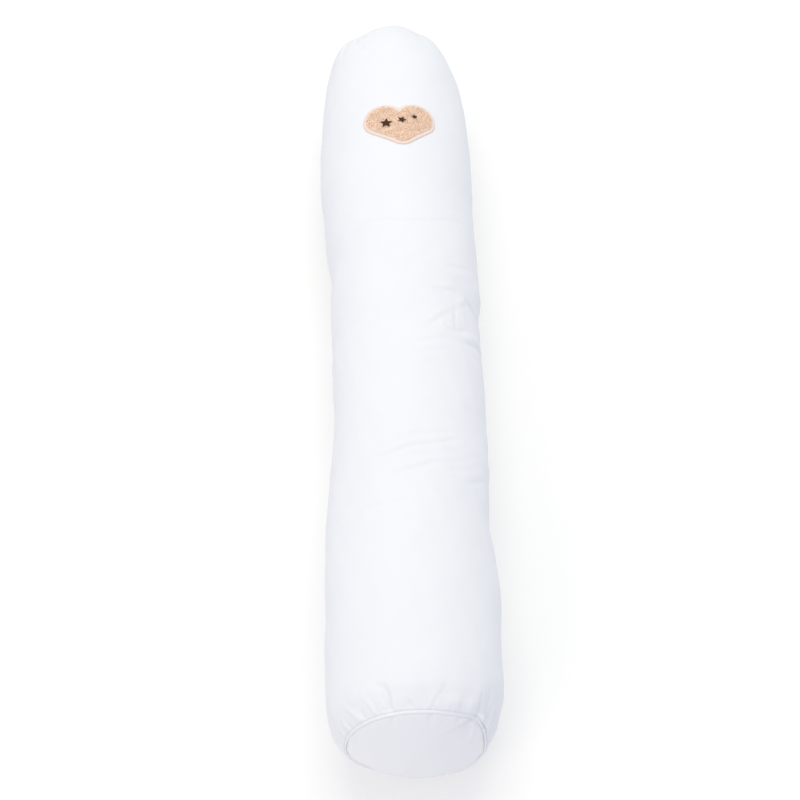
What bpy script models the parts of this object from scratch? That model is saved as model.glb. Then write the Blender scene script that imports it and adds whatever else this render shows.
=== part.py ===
"""Baby bolster pillow, stuffed and lying on its side.

Metres, +Z up.  The bolster's long axis runs along Y: the near end is at -Y,
the far end at +Y, and the sewn-on patch lies on top near the far end.
The origin is under the middle of the pillow, on the surface that it lies on.

Pieces, as they are cut and sewn:
  body            the stuffed tube, drawn in and gathered at both end seams
  end_panel_near  round cloth that closes the near end, domed by the filling
  end_panel_far   the same at the far end
  patch_base      flat woven backing of the patch, showing as a narrow border
  patch_pile      terry face of the patch, inside that border
"""
import math

import bmesh
import bpy

# ------------------------------------------------------------------ sizes
RING_Y = 0.4805          # end seam line to the middle of the pillow
RING_RADIUS = 0.0715     # topstitch line around the end panel
RING_Z = 0.0835          # height of the end panel's centre
HEIGHT_TO_WIDTH = 0.965  # the filled section is a little lower than wide
SETTLE = 0.0045          # how far the weight flattens the underside
BAND = 0.0030            # topstitched band between stitch line and seam
BAND_RISE = 0.0035       # how far the band turns over the end
DOME = 0.0255            # bulge of an end panel past its stitch line
PANEL_CLOTH = 0.0016     # thickness of the end panel's cloth
GAP = 0.0003             # clearance between neighbouring pieces
AROUND = 64              # points around the tube

# Sections along the tube: place along Y, half width, middle in X.
SECTION_COLUMNS = ("y", "half_width", "middle_x")
SECTIONS = (
    (-0.4805, 0.0715, -0.0054),
    (-0.4690, 0.0795, -0.0050),
    (-0.4550, 0.0862, -0.0046),
    (-0.4300, 0.0898, -0.0042),
    (-0.3800, 0.0906, -0.0034),
    (-0.3200, 0.0914, -0.0018),
    (-0.2700, 0.0902, -0.0032),
    (-0.2200, 0.0874, -0.0030),
    (-0.1600, 0.0863, 0.0012),
    (-0.1050, 0.0848, 0.0042),
    (-0.0500, 0.0853, 0.0048),
    (0.0200, 0.0843, 0.0048),
    (0.0550, 0.0846, 0.0048),
    (0.1000, 0.0866, 0.0064),
    (0.1300, 0.0869, 0.0066),
    (0.1700, 0.0887, 0.0042),
    (0.2100, 0.0890, 0.0026),
    (0.2500, 0.0911, 0.0022),
    (0.3075, 0.0917, 0.0024),
    (0.3675, 0.0894, 0.0031),
    (0.4175, 0.0850, 0.0024),
    (0.4475, 0.0800, 0.0017),
    (0.4675, 0.0751, 0.0011),
    (0.4805, 0.0705, 0.0010),
)

# Spacing of the rows of points, measured inward from each stitch line.
ROWS_FROM_RING = (0.0, 0.0035, 0.0085, 0.0155, 0.0250, 0.0370, 0.0520, 0.0710, 0.0950)
ROWS_BETWEEN = 18

# Gathers where the tube is drawn in: angle from the top towards +X,
# depth at the deepest, angular half width, how far it reaches from the seam.
GATHER_COLUMNS = ("angle_deg", "depth", "half_width_deg", "reach")
GATHERS_NEAR = (
    (-148.0, 0.0014, 9.0, 0.060),
    (-118.0, 0.0016, 9.0, 0.055),
    (-90.0, 0.0016, 8.0, 0.060),
    (-70.0, 0.0018, 7.0, 0.055),
    (-47.0, 0.0016, 7.0, 0.060),
    (-21.0, 0.0024, 7.0, 0.075),
    (-1.0, 0.0015, 6.5, 0.050),
    (15.0, 0.0018, 7.0, 0.070),
    (39.0, 0.0018, 7.0, 0.055),
    (60.0, 0.0026, 7.0, 0.080),
    (84.0, 0.0020, 7.0, 0.060),
    (112.0, 0.0016, 9.0, 0.060),
    (146.0, 0.0014, 9.0, 0.055),
)
GATHERS_FAR = (
    (-152.0, 0.0014, 9.0, 0.060),
    (-123.0, 0.0016, 9.0, 0.055),
    (-97.0, 0.0018, 8.0, 0.060),
    (-74.0, 0.0016, 7.0, 0.055),
    (-55.0, 0.0014, 7.0, 0.050),
    (-32.0, 0.0030, 8.0, 0.060),
    (-8.0, 0.0010, 7.0, 0.045),
    (10.0, 0.0010, 7.0, 0.045),
    (32.0, 0.0028, 8.0, 0.055),
    (56.0, 0.0014, 7.0, 0.060),
    (80.0, 0.0018, 8.0, 0.055),
    (108.0, 0.0016, 9.0, 0.060),
    (140.0, 0.0014, 9.0, 0.060),
)

# The near seam isn't a true circle: it is pulled back on its upper right.
PULL_COLUMNS = ("angle_deg", "pulled_back")
PULL_NEAR = ((-180.0, -0.0010), (-150.0, 0.0014), (-125.0, 0.0012), (-90.0, 0.0), (0.0, 0.0), (20.0, 0.0006), (36.0, 0.0028),
             (57.0, 0.0078), (77.0, 0.0045), (92.0, -0.0004), (112.0, -0.0032),
             (138.0, -0.0046), (160.0, -0.0026), (180.0, -0.0010))
PULL_FAR = ((-180.0, 0.0), (-70.0, 0.0006), (-50.0, 0.0022), (-31.0, 0.0042), (-14.0, -0.0006),
            (0.0, -0.0022), (14.0, -0.0012), (30.0, 0.0012), (50.0, 0.0018), (75.0, 0.0004), (180.0, 0.0))

# The patch: a heart cut from two round lobes and a rounded tip.
PATCH_Y = 0.2905         # its centre along the pillow
PATCH_X = 0.0058         # its centre across, measured over the crown
PATCH_TURN = math.radians(4.0)
LOBE_RADIUS = 0.0205     # terry face
LOBE_X = 0.0185
LOBE_Y = 0.0085
TIP_RADIUS = 0.0090
TIP_Y = -0.0205
BORDER = 0.0045          # backing that shows around the terry
BASE_CLOTH = 0.0012
PILE_CLOTH = 0.0020
PATCH_LIFT = 0.0004
PATCH_AROUND = 40
PATCH_RINGS = (0.28, 0.52, 0.77, 1.0)

WHITE_COTTON = (0.84, 0.85, 0.88)
PANEL_COTTON = (0.83, 0.84, 0.87)
CREAM_CLOTH = (0.83, 0.72, 0.64)
TAN_TERRY = (0.70, 0.48, 0.32)


# ------------------------------------------------------- smooth tables
def smooth(places, values, at):
    """Monotone cubic through a table: no overshoot between its rows."""
    n = len(places)
    if at <= places[0]:
        return values[0]
    if at >= places[-1]:
        return values[-1]
    step = [places[i + 1] - places[i] for i in range(n - 1)]
    rise = [(values[i + 1] - values[i]) / step[i] for i in range(n - 1)]
    slope = [rise[0]] + [0.0] * (n - 2) + [rise[-1]]
    for i in range(1, n - 1):
        if rise[i - 1] * rise[i] > 0.0:
            w1 = 2.0 * step[i] + step[i - 1]
            w2 = step[i] + 2.0 * step[i - 1]
            slope[i] = (w1 + w2) / (w1 / rise[i - 1] + w2 / rise[i])
    i = max(k for k in range(n - 1) if places[k] <= at)
    t = (at - places[i]) / step[i]
    return ((2 * t**3 - 3 * t**2 + 1) * values[i] + (t**3 - 2 * t**2 + t) * step[i] * slope[i]
            + (-2 * t**3 + 3 * t**2) * values[i + 1] + (t**3 - t**2) * step[i] * slope[i + 1])


def half_width(y):
    return smooth([r[0] for r in SECTIONS], [r[1] for r in SECTIONS], y)


def middle_x(y):
    return smooth([r[0] for r in SECTIONS], [r[2] for r in SECTIONS], y)


def half_height(y):
    return HEIGHT_TO_WIDTH * half_width(y)


def middle_z(y):
    """The underside settles on the surface; the ends lift to the end panel's centre."""
    lying = HEIGHT_TO_WIDTH * half_width(max(-0.40, min(0.37, y))) - SETTLE
    to_end = max(0.0, (abs(y) - 0.37) / (RING_Y - 0.37))
    blend = to_end * to_end * (3.0 - 2.0 * to_end)
    return lying + (RING_Z - lying) * blend


def wrap(degrees):
    return (degrees + 180.0) % 360.0 - 180.0


def gather(angle, from_ring, table):
    """How far the cloth sinks below the plain section in the gathers."""
    sink = 0.0
    for place, depth, width, reach in table:
        off = wrap(math.degrees(angle) - place) / width
        if abs(off) > 3.0 or from_ring > reach:
            continue
        along = math.cos(0.5 * math.pi * from_ring / reach) ** 2
        sink += depth * math.exp(-off * off) * along
    return sink


def pulled(angle, end):
    table = PULL_NEAR if end < 0 else PULL_FAR
    return smooth([r[0] for r in table], [r[1] for r in table], wrap(math.degrees(angle)))


def tube_point(y, angle, lift=0.0):
    """A point of the tube's surface at y, angle measured from the top towards +X."""
    end = -1 if y < 0 else 1
    from_ring = RING_Y - abs(y)
    sink = gather(angle, from_ring, GATHERS_NEAR if end < 0 else GATHERS_FAR)
    a, b = half_width(y), half_height(y)
    nx, nz = math.sin(angle) / a, math.cos(angle) / b
    n = math.hypot(nx, nz)
    x = middle_x(y) + a * math.sin(angle) + (lift - sink) * nx / n
    z = middle_z(y) + b * math.cos(angle) + (lift - sink) * nz / n
    fade = max(0.0, 1.0 - from_ring / 0.060) ** 2
    return (x, y - end * pulled(angle, end) * fade, max(0.0, z))


def end_point(end, angle, fraction, forward):
    """A point in the end's mouth: fraction of the stitch line's radius, forward out of it."""
    ring = end * RING_Y
    radius = half_width(ring)
    x = middle_x(ring) + fraction * radius * math.sin(angle)
    z = middle_z(ring) + fraction * radius * HEIGHT_TO_WIDTH * math.cos(angle)
    return (x, ring + end * (forward - pulled(angle, end) * fraction**3), z)


# ----------------------------------------------------------- mesh makers
def ring_of(function, count=AROUND):
    return [function(2.0 * math.pi * (k + 0.5) / count) for k in range(count)]


def skin(name, rings, first=None, last=None):
    """Close a stack of rings, with a point or a fan at each end."""
    mesh = bpy.data.meshes.new(name)
    bm = bmesh.new()
    loops = [[bm.verts.new(p) for p in ring] for ring in rings]
    n = len(loops[0])
    for a, b in zip(loops, loops[1:]):
        for k in range(n):
            j = (k + 1) % n
            bm.faces.new((a[k], a[j], b[j], b[k]))
    for point, loop in ((first, loops[0]), (last, loops[-1])):
        if point is not None:
            tip = bm.verts.new(point)
            for k in range(n):
                bm.faces.new((loop[(k + 1) % n], loop[k], tip) if loop is loops[0]
                             else (loop[k], loop[(k + 1) % n], tip))
    bm.normal_update()
    if bm.calc_volume(signed=True) < 0.0:
        bmesh.ops.reverse_faces(bm, faces=bm.faces[:])
    bmesh.ops.triangulate(bm, faces=bm.faces[:])
    bm.to_mesh(mesh)
    bm.free()
    for polygon in mesh.polygons:
        polygon.use_smooth = True
    mesh.set_sharp_from_angle(angle=math.radians(50.0))
    return mesh


def cloth(name, colour, roughness):
    material = bpy.data.materials.new(name)
    material.use_nodes = True
    shader = material.node_tree.nodes["Principled BSDF"]
    shader.inputs["Base Color"].default_value = (*colour, 1.0)
    shader.inputs["Roughness"].default_value = roughness
    shader.inputs["Metallic"].default_value = 0.0
    material.diffuse_color = (*colour, 1.0)
    return material


def place(name, mesh, material, parent):
    thing = bpy.data.objects.new(name, mesh)
    mesh.materials.append(material)
    bpy.context.scene.collection.objects.link(thing)
    thing.parent = parent
    return thing


# ------------------------------------------------------------------- body
def seat_forward(fraction):
    """The filling's own dome under the end panel."""
    return panel_forward(fraction) - PANEL_CLOTH - 1.2 * GAP


def panel_forward(fraction):
    """Outer face of the end panel: a shallow dome that starts at the seam."""
    seam = 1.0 - (BAND + GAP) / RING_RADIUS
    f = min(1.0, fraction / seam)
    return BAND_RISE + (DOME - BAND_RISE) * (1.0 - f * f)


def body_mesh():
    seam = 1.0 - BAND / RING_RADIUS
    rows = [(-1, step) for step in ROWS_FROM_RING]
    inner = RING_Y - ROWS_FROM_RING[-1]
    middle = [-inner + 2.0 * inner * k / (ROWS_BETWEEN + 1) for k in range(1, ROWS_BETWEEN + 1)]
    ys = ([-RING_Y + s for _, s in rows] + middle + [RING_Y - s for s in reversed(ROWS_FROM_RING)])
    rings = []
    for fraction in (0.32, 0.62, 0.86):
        rings.append(ring_of(lambda a, f=fraction: end_point(-1, a, f, seat_forward(f))))
    rings.append(ring_of(lambda a: end_point(-1, a, seam, BAND_RISE - PANEL_CLOTH - 1.2 * GAP)))
    rings.append(ring_of(lambda a: end_point(-1, a, seam, BAND_RISE)))
    rings.append(ring_of(lambda a: end_point(-1, a, 0.5 + 0.5 * seam, 0.75 * BAND_RISE)))
    rings += [ring_of(lambda a, y=y: tube_point(y, a)) for y in ys]
    rings.append(ring_of(lambda a: end_point(1, a, 0.5 + 0.5 * seam, 0.75 * BAND_RISE)))
    rings.append(ring_of(lambda a: end_point(1, a, seam, BAND_RISE)))
    rings.append(ring_of(lambda a: end_point(1, a, seam, BAND_RISE - PANEL_CLOTH - 1.2 * GAP)))
    for fraction in (0.86, 0.62, 0.32):
        rings.append(ring_of(lambda a, f=fraction: end_point(1, a, f, seat_forward(f))))
    return skin("body", rings, end_point(-1, 0.0, 0.0, seat_forward(0.0)),
                end_point(1, 0.0, 0.0, seat_forward(0.0)))


def panel_mesh(name, end):
    seam = 1.0 - (BAND + GAP) / RING_RADIUS
    fractions = (0.32, 0.62, 0.86, seam)
    outer = [ring_of(lambda a, f=f: end_point(end, a, f, panel_forward(f))) for f in fractions]
    inner = [ring_of(lambda a, f=f: end_point(end, a, f, panel_forward(f) - PANEL_CLOTH))
             for f in reversed(fractions)]
    return skin(name, outer + inner, end_point(end, 0.0, 0.0, panel_forward(0.0)),
                end_point(end, 0.0, 0.0, panel_forward(0.0) - PANEL_CLOTH))


# ------------------------------------------------------------------ patch
def heart_reach(direction, grow):
    """Distance from the patch's centre to the heart's edge in one direction."""
    ux, uy = math.sin(direction), math.cos(direction)
    far = 0.0
    # two lobes and the tip
    for cx, cy, radius in ((LOBE_X, LOBE_Y, LOBE_RADIUS), (-LOBE_X, LOBE_Y, LOBE_RADIUS),
                           (0.0, TIP_Y, TIP_RADIUS)):
        radius += grow
        along = cx * ux + cy * uy
        aside = cx * cx + cy * cy - along * along
        if aside < radius * radius:
            far = max(far, along + math.sqrt(radius * radius - aside))
    # straight sides, tangent to a lobe and to the tip
    for side in (1.0, -1.0):
        dx, dy = LOBE_X, LOBE_Y - TIP_Y
        length = math.hypot(dx, dy)
        turn = math.atan2(dx, dy) + math.asin((LOBE_RADIUS - TIP_RADIUS) / length)
        nx, ny = side * math.cos(turn), -math.sin(turn)
        start = (nx * (TIP_RADIUS + grow), TIP_Y + ny * (TIP_RADIUS + grow))
        stop = (side * LOBE_X + nx * (LOBE_RADIUS + grow), LOBE_Y + ny * (LOBE_RADIUS + grow))
        across = ux * (stop[1] - start[1]) - uy * (stop[0] - start[0])
        if abs(across) > 1e-9:
            reach = (start[0] * (stop[1] - start[1]) - start[1] * (stop[0] - start[0])) / across
            share = ((start[0] * uy - start[1] * ux) / across)
            if reach > 0.0 and 0.0 <= share <= 1.0:
                far = max(far, reach)
    return far


def on_crown(u, v, lift):
    """Lay a flat point of the patch (u across, v along) over the pillow's crown."""
    c, s = math.cos(PATCH_TURN), math.sin(PATCH_TURN)
    across, along = PATCH_X + c * u - s * v, PATCH_Y + s * u + c * v
    a = half_width(along)
    return tube_point(along, across / (0.5 * a + 0.5 * a * HEIGHT_TO_WIDTH), lift)


def patch_mesh(name, grow, under, thick):
    def ring(fraction, lift):
        points = []
        for k in range(PATCH_AROUND):
            direction = 2.0 * math.pi * k / PATCH_AROUND
            reach = fraction * heart_reach(direction, grow)
            points.append(on_crown(reach * math.sin(direction), reach * math.cos(direction), lift))
        return points
    top = [ring(f, under + thick) for f in PATCH_RINGS]
    low = [ring(f, under) for f in reversed(PATCH_RINGS)]
    return skin(name, top + low, on_crown(0.0, 0.0, under + thick), on_crown(0.0, 0.0, under))


# ------------------------------------------------------------------ build
def build():
    for thing in list(bpy.data.objects):
        bpy.data.objects.remove(thing, do_unlink=True)
    frame = bpy.data.objects.new("bolster_frame", None)
    bpy.context.scene.collection.objects.link(frame)
    place("body", body_mesh(), cloth("white_cotton", WHITE_COTTON, 0.85), frame)
    place("end_panel_near", panel_mesh("end_panel_near", -1),
          cloth("panel_cotton_near", PANEL_COTTON, 0.85), frame)
    place("end_panel_far", panel_mesh("end_panel_far", 1),
          cloth("panel_cotton_far", PANEL_COTTON, 0.85), frame)
    place("patch_base", patch_mesh("patch_base", BORDER, PATCH_LIFT, BASE_CLOTH),
          cloth("cream_cloth", CREAM_CLOTH, 0.8), frame)
    place("patch_pile", patch_mesh("patch_pile", 0.0, PATCH_LIFT + BASE_CLOTH + PATCH_LIFT, PILE_CLOTH),
          cloth("tan_terry", TAN_TERRY, 0.95), frame)


build()
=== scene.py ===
import math

import bmesh
import bpy
import numpy as np
from mathutils import Matrix, Vector


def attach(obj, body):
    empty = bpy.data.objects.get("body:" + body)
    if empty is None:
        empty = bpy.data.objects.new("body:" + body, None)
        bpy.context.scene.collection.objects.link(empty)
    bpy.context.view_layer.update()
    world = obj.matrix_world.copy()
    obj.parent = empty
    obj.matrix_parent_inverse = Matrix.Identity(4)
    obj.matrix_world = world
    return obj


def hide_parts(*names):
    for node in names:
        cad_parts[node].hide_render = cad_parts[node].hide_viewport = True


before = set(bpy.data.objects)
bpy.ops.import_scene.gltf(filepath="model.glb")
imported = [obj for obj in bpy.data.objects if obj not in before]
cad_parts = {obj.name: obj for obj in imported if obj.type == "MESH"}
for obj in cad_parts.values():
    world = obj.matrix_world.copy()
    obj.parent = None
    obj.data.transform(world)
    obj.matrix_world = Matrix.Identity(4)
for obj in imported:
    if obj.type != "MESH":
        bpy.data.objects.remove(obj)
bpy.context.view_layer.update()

BODY = "root"

# --------------------------------------------------------------- driving sizes
RING_Y = 0.4805          # stitch line around each end, from the pillow's middle
RING_RADIUS = 0.0715
RING_Z = 0.0835
HEIGHT_TO_WIDTH = 0.965
SETTLE = 0.0045
DOME = 0.0220            # how far the stuffed end stands out where it is fullest
FULLEST = 0.20           # how far below its middle that is, as a share of its radius
PANEL_CLOTH = 0.0014
CUT_RADIUS = 0.0905      # the tube's full size, before it is gathered

# place along Y, half width, middle in X
SECTIONS = (
    (-0.4805, 0.0715, -0.0054), (-0.4690, 0.0795, -0.0050), (-0.4550, 0.0862, -0.0046),
    (-0.4300, 0.0898, -0.0042), (-0.3800, 0.0906, -0.0034), (-0.3200, 0.0914, -0.0018),
    (-0.2700, 0.0902, -0.0032), (-0.2200, 0.0874, -0.0030), (-0.1600, 0.0863, 0.0012),
    (-0.1050, 0.0848, 0.0042), (-0.0500, 0.0853, 0.0048), (0.0200, 0.0843, 0.0048),
    (0.0550, 0.0846, 0.0048), (0.1000, 0.0866, 0.0064), (0.1300, 0.0869, 0.0066),
    (0.1700, 0.0887, 0.0042), (0.2100, 0.0890, 0.0026), (0.2500, 0.0911, 0.0022),
    (0.3075, 0.0917, 0.0024), (0.3675, 0.0894, 0.0031), (0.4175, 0.0850, 0.0024),
    (0.4475, 0.0800, 0.0017), (0.4675, 0.0751, 0.0011), (0.4805, 0.0705, 0.0010),
)
# angle from the top towards +X, how far the seam is pulled back
PULL_NEAR = ((-180.0, -0.0010), (-150.0, 0.0014), (-125.0, 0.0012), (-90.0, 0.0), (0.0, 0.0),
             (20.0, 0.0006), (36.0, 0.0028), (57.0, 0.0078), (77.0, 0.0045), (92.0, -0.0004),
             (112.0, -0.0032), (138.0, -0.0046), (160.0, -0.0026), (180.0, -0.0010))
PULL_FAR = ((-180.0, 0.0), (-90.0, 0.0), (-68.0, -0.0006), (-55.0, 0.0001), (-43.0, 0.0031),
            (-34.0, 0.0054), (-27.0, 0.0051), (-19.0, 0.0020), (-10.0, -0.0001), (-2.0, -0.0012),
            (6.0, -0.0028), (14.0, -0.0020), (20.0, -0.0004), (28.0, 0.0031), (34.0, 0.0033),
            (40.0, 0.0014), (46.0, 0.0006), (57.0, 0.0014), (66.0, 0.0024), (80.0, 0.0004),
            (180.0, 0.0))

# The end is a little squarer than round below: angle, how much wider, as a share.
SQUARER = ((-180.0, -0.016), (-150.0, 0.022), (-132.0, 0.033), (-112.0, 0.028), (-98.0, 0.010), (-84.0, 0.0),
           (84.0, 0.0), (98.0, 0.008), (112.0, 0.024), (132.0, 0.033), (150.0, 0.022), (180.0, -0.016))

# The topstitched band around an end: angle, its width, how far it turns over the end.
BAND_NEAR = ((-180, 0.0034, 0.0010), (-150, 0.0038, -0.0008), (-130, 0.0042, -0.0014),
             (-108, 0.0032, 0.0004), (-88, 0.0026, 0.0020), (-60, 0.0026, 0.0026),
             (0, 0.0026, 0.0029), (60, 0.0028, 0.0028), (88, 0.0033, 0.0022),
             (108, 0.0033, 0.0010), (130, 0.0032, -0.0004), (150, 0.0034, -0.0004),
             (180, 0.0034, 0.0010))
BAND_FAR = ((-180, 0.0033, 0.0008), (-135, 0.0036, -0.0004), (-90, 0.0030, 0.0020),
            (0, 0.0030, 0.0035), (90, 0.0030, 0.0022), (135, 0.0034, 0.0), (180, 0.0033, 0.0008))

# Where the gathered cloth is caught in the seam: angle, strength.
CAUGHT_NEAR = ((-162, 1.0), (-141, 0.7), (-122, 0.9), (-104, 0.8), (-88, 0.9), (-73, 1.1), (-60, 0.6),
               (-44, 1.0), (-32, 0.4), (-21, 1.6), (-9, 0.4), (-2, 0.9), (14, 1.1), (27, 0.5),
               (38, 1.0), (48, 0.5), (59, 1.7), (71, 0.8), (84, 1.2), (101, 0.8), (119, 0.9),
               (137, 0.8), (156, 0.9), (175, 0.8))
CAUGHT_FAR = ((-168, 0.9), (-149, 0.7), (-128, 1.0), (-108, 0.8), (-92, 0.9), (-74, 1.0), (-58, 0.6),
              (-44, 0.5), (-31, 1.7), (-15, 0.4), (2, 0.5), (16, 0.5), (30, 1.4), (45, 0.5),
              (60, 0.8), (77, 1.0), (95, 0.8), (113, 0.9), (131, 0.8), (150, 0.9), (171, 0.8))


AROUND = 376
DENSER_TOP = 0.45        # the grid's columns stand this much closer together on top


def column_of(angle):
    """Where an angle falls among the columns."""
    return (angle + DENSER_TOP * np.sin(angle)) / (2 * np.pi) * AROUND


def column_angles():
    wanted = np.arange(AROUND, dtype=float)
    angle = wanted * 2 * np.pi / AROUND
    for _ in range(16):
        angle = angle - (column_of(angle) - wanted) * 2 * np.pi / AROUND / (1 + DENSER_TOP * np.cos(angle))
    return angle


ANGLE = column_angles()


# --------------------------------------------------------------- smooth tables
def smooth(table, column, at):
    px = np.array([r[0] for r in table], float)
    pv = np.array([r[column] for r in table], float)
    h, r = np.diff(px), np.diff(pv) / np.diff(px)
    m = np.zeros(len(px))
    m[0], m[-1] = r[0], r[-1]
    for i in range(1, len(px) - 1):
        if r[i - 1] * r[i] > 0:
            w1, w2 = 2 * h[i] + h[i - 1], h[i] + 2 * h[i - 1]
            m[i] = (w1 + w2) / (w1 / r[i - 1] + w2 / r[i])
    x = np.clip(np.asarray(at, float), px[0], px[-1])
    i = np.clip(np.searchsorted(px, x, side="right") - 1, 0, len(px) - 2)
    t = (x - px[i]) / h[i]
    return ((2 * t**3 - 3 * t**2 + 1) * pv[i] + (t**3 - 2 * t**2 + t) * h[i] * m[i]
            + (-2 * t**3 + 3 * t**2) * pv[i + 1] + (t**3 - t**2) * h[i] * m[i + 1])


def half_width(y):
    return smooth(SECTIONS, 1, y)


def middle_x(y):
    return smooth(SECTIONS, 2, y)


def middle_z(y):
    y = np.asarray(y, float)
    lying = HEIGHT_TO_WIDTH * half_width(np.clip(y, -0.40, 0.37)) - SETTLE
    t = np.clip((np.abs(y) - 0.37) / (RING_Y - 0.37), 0, 1)
    return lying + (RING_Z - lying) * t * t * (3 - 2 * t)


def wrap(deg):
    return (deg + 180.0) % 360.0 - 180.0


def pulled(angle, end):
    return smooth(PULL_NEAR if end < 0 else PULL_FAR, 1, wrap(np.degrees(angle)))


def squarer(angle):
    return smooth(SQUARER, 1, wrap(np.degrees(angle)))


def tube(y, angle):
    """The plain tube, before folds: arrays of y and of angle that broadcast."""
    y, angle = np.broadcast_arrays(np.asarray(y, float), np.asarray(angle, float))
    fade = np.clip(1 - (RING_Y - np.abs(y)) / 0.060, 0, 1) ** 2
    a = half_width(y) * (1 + squarer(angle) * fade)
    shift = np.where(y < 0, pulled(angle, -1), -pulled(angle, 1)) * fade
    return np.stack([middle_x(y) + a * np.sin(angle), y + shift,
                     middle_z(y) + HEIGHT_TO_WIDTH * a * np.cos(angle)], -1)


def mouth(end, angle, fraction, forward):
    """A point in an end's mouth: fraction of the stitch line's radius, forward out of it."""
    angle, fraction, forward = np.broadcast_arrays(np.asarray(angle, float),
                                                   np.asarray(fraction, float),
                                                   np.asarray(forward, float))
    ring = end * RING_Y
    r = half_width(ring) * fraction * (1 + squarer(angle))
    return np.stack([middle_x(ring) + r * np.sin(angle),
                     ring + end * (forward - pulled(angle, end) * np.clip(fraction, 0, 1) ** 3),
                     middle_z(ring) + HEIGHT_TO_WIDTH * r * np.cos(angle)], -1)


def band_width(end):
    return smooth(BAND_NEAR if end < 0 else BAND_FAR, 1, wrap(np.degrees(ANGLE)))


def band_turn(end):
    return smooth(BAND_NEAR if end < 0 else BAND_FAR, 2, wrap(np.degrees(ANGLE)))


def dome(end, share):
    """How far forward the stuffed end stands; share is 1 at its seam, 0 in the middle.  It is
    fullest below the middle, where the filling settles."""
    rim, q = band_turn(end), np.clip(share, 0, 1)
    across, rise = q * np.sin(ANGLE), q * np.cos(ANGLE) + FULLEST
    away = np.hypot(across, rise) + 1e-9
    leaning = -FULLEST * rise / away
    to_rim = -leaning + np.sqrt(leaning * leaning + 1 - FULLEST**2)
    full = np.clip(1 - (away / to_rim) ** 2.3, 0, 1)
    return rim + (DOME - rim) * full


def settle(p, soft=0.0025):
    """The surface below: flat where the pillow rests, with a soft turn into the sides."""
    z = p[..., 2]
    p[..., 2] = np.where(z > soft, z, np.where(z < -soft, 0.0, (z + soft) ** 2 / (4 * soft)))
    return p


def waves(u, v, spec, seed):
    """Smooth uneven swell: random plane waves. spec rows: wavelength, height, how many."""
    rng = np.random.default_rng(seed)
    out = np.zeros(np.broadcast(u, v).shape)
    for length, height, count in spec:
        for _ in range(count):
            turn, phase = rng.uniform(0, 2 * math.pi, 2)
            k = 2 * math.pi / (length * rng.uniform(0.75, 1.35))
            out = out + height / math.sqrt(count) * np.sin(k * (u * math.cos(turn) + v * math.sin(turn)) + phase)
    return out


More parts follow.
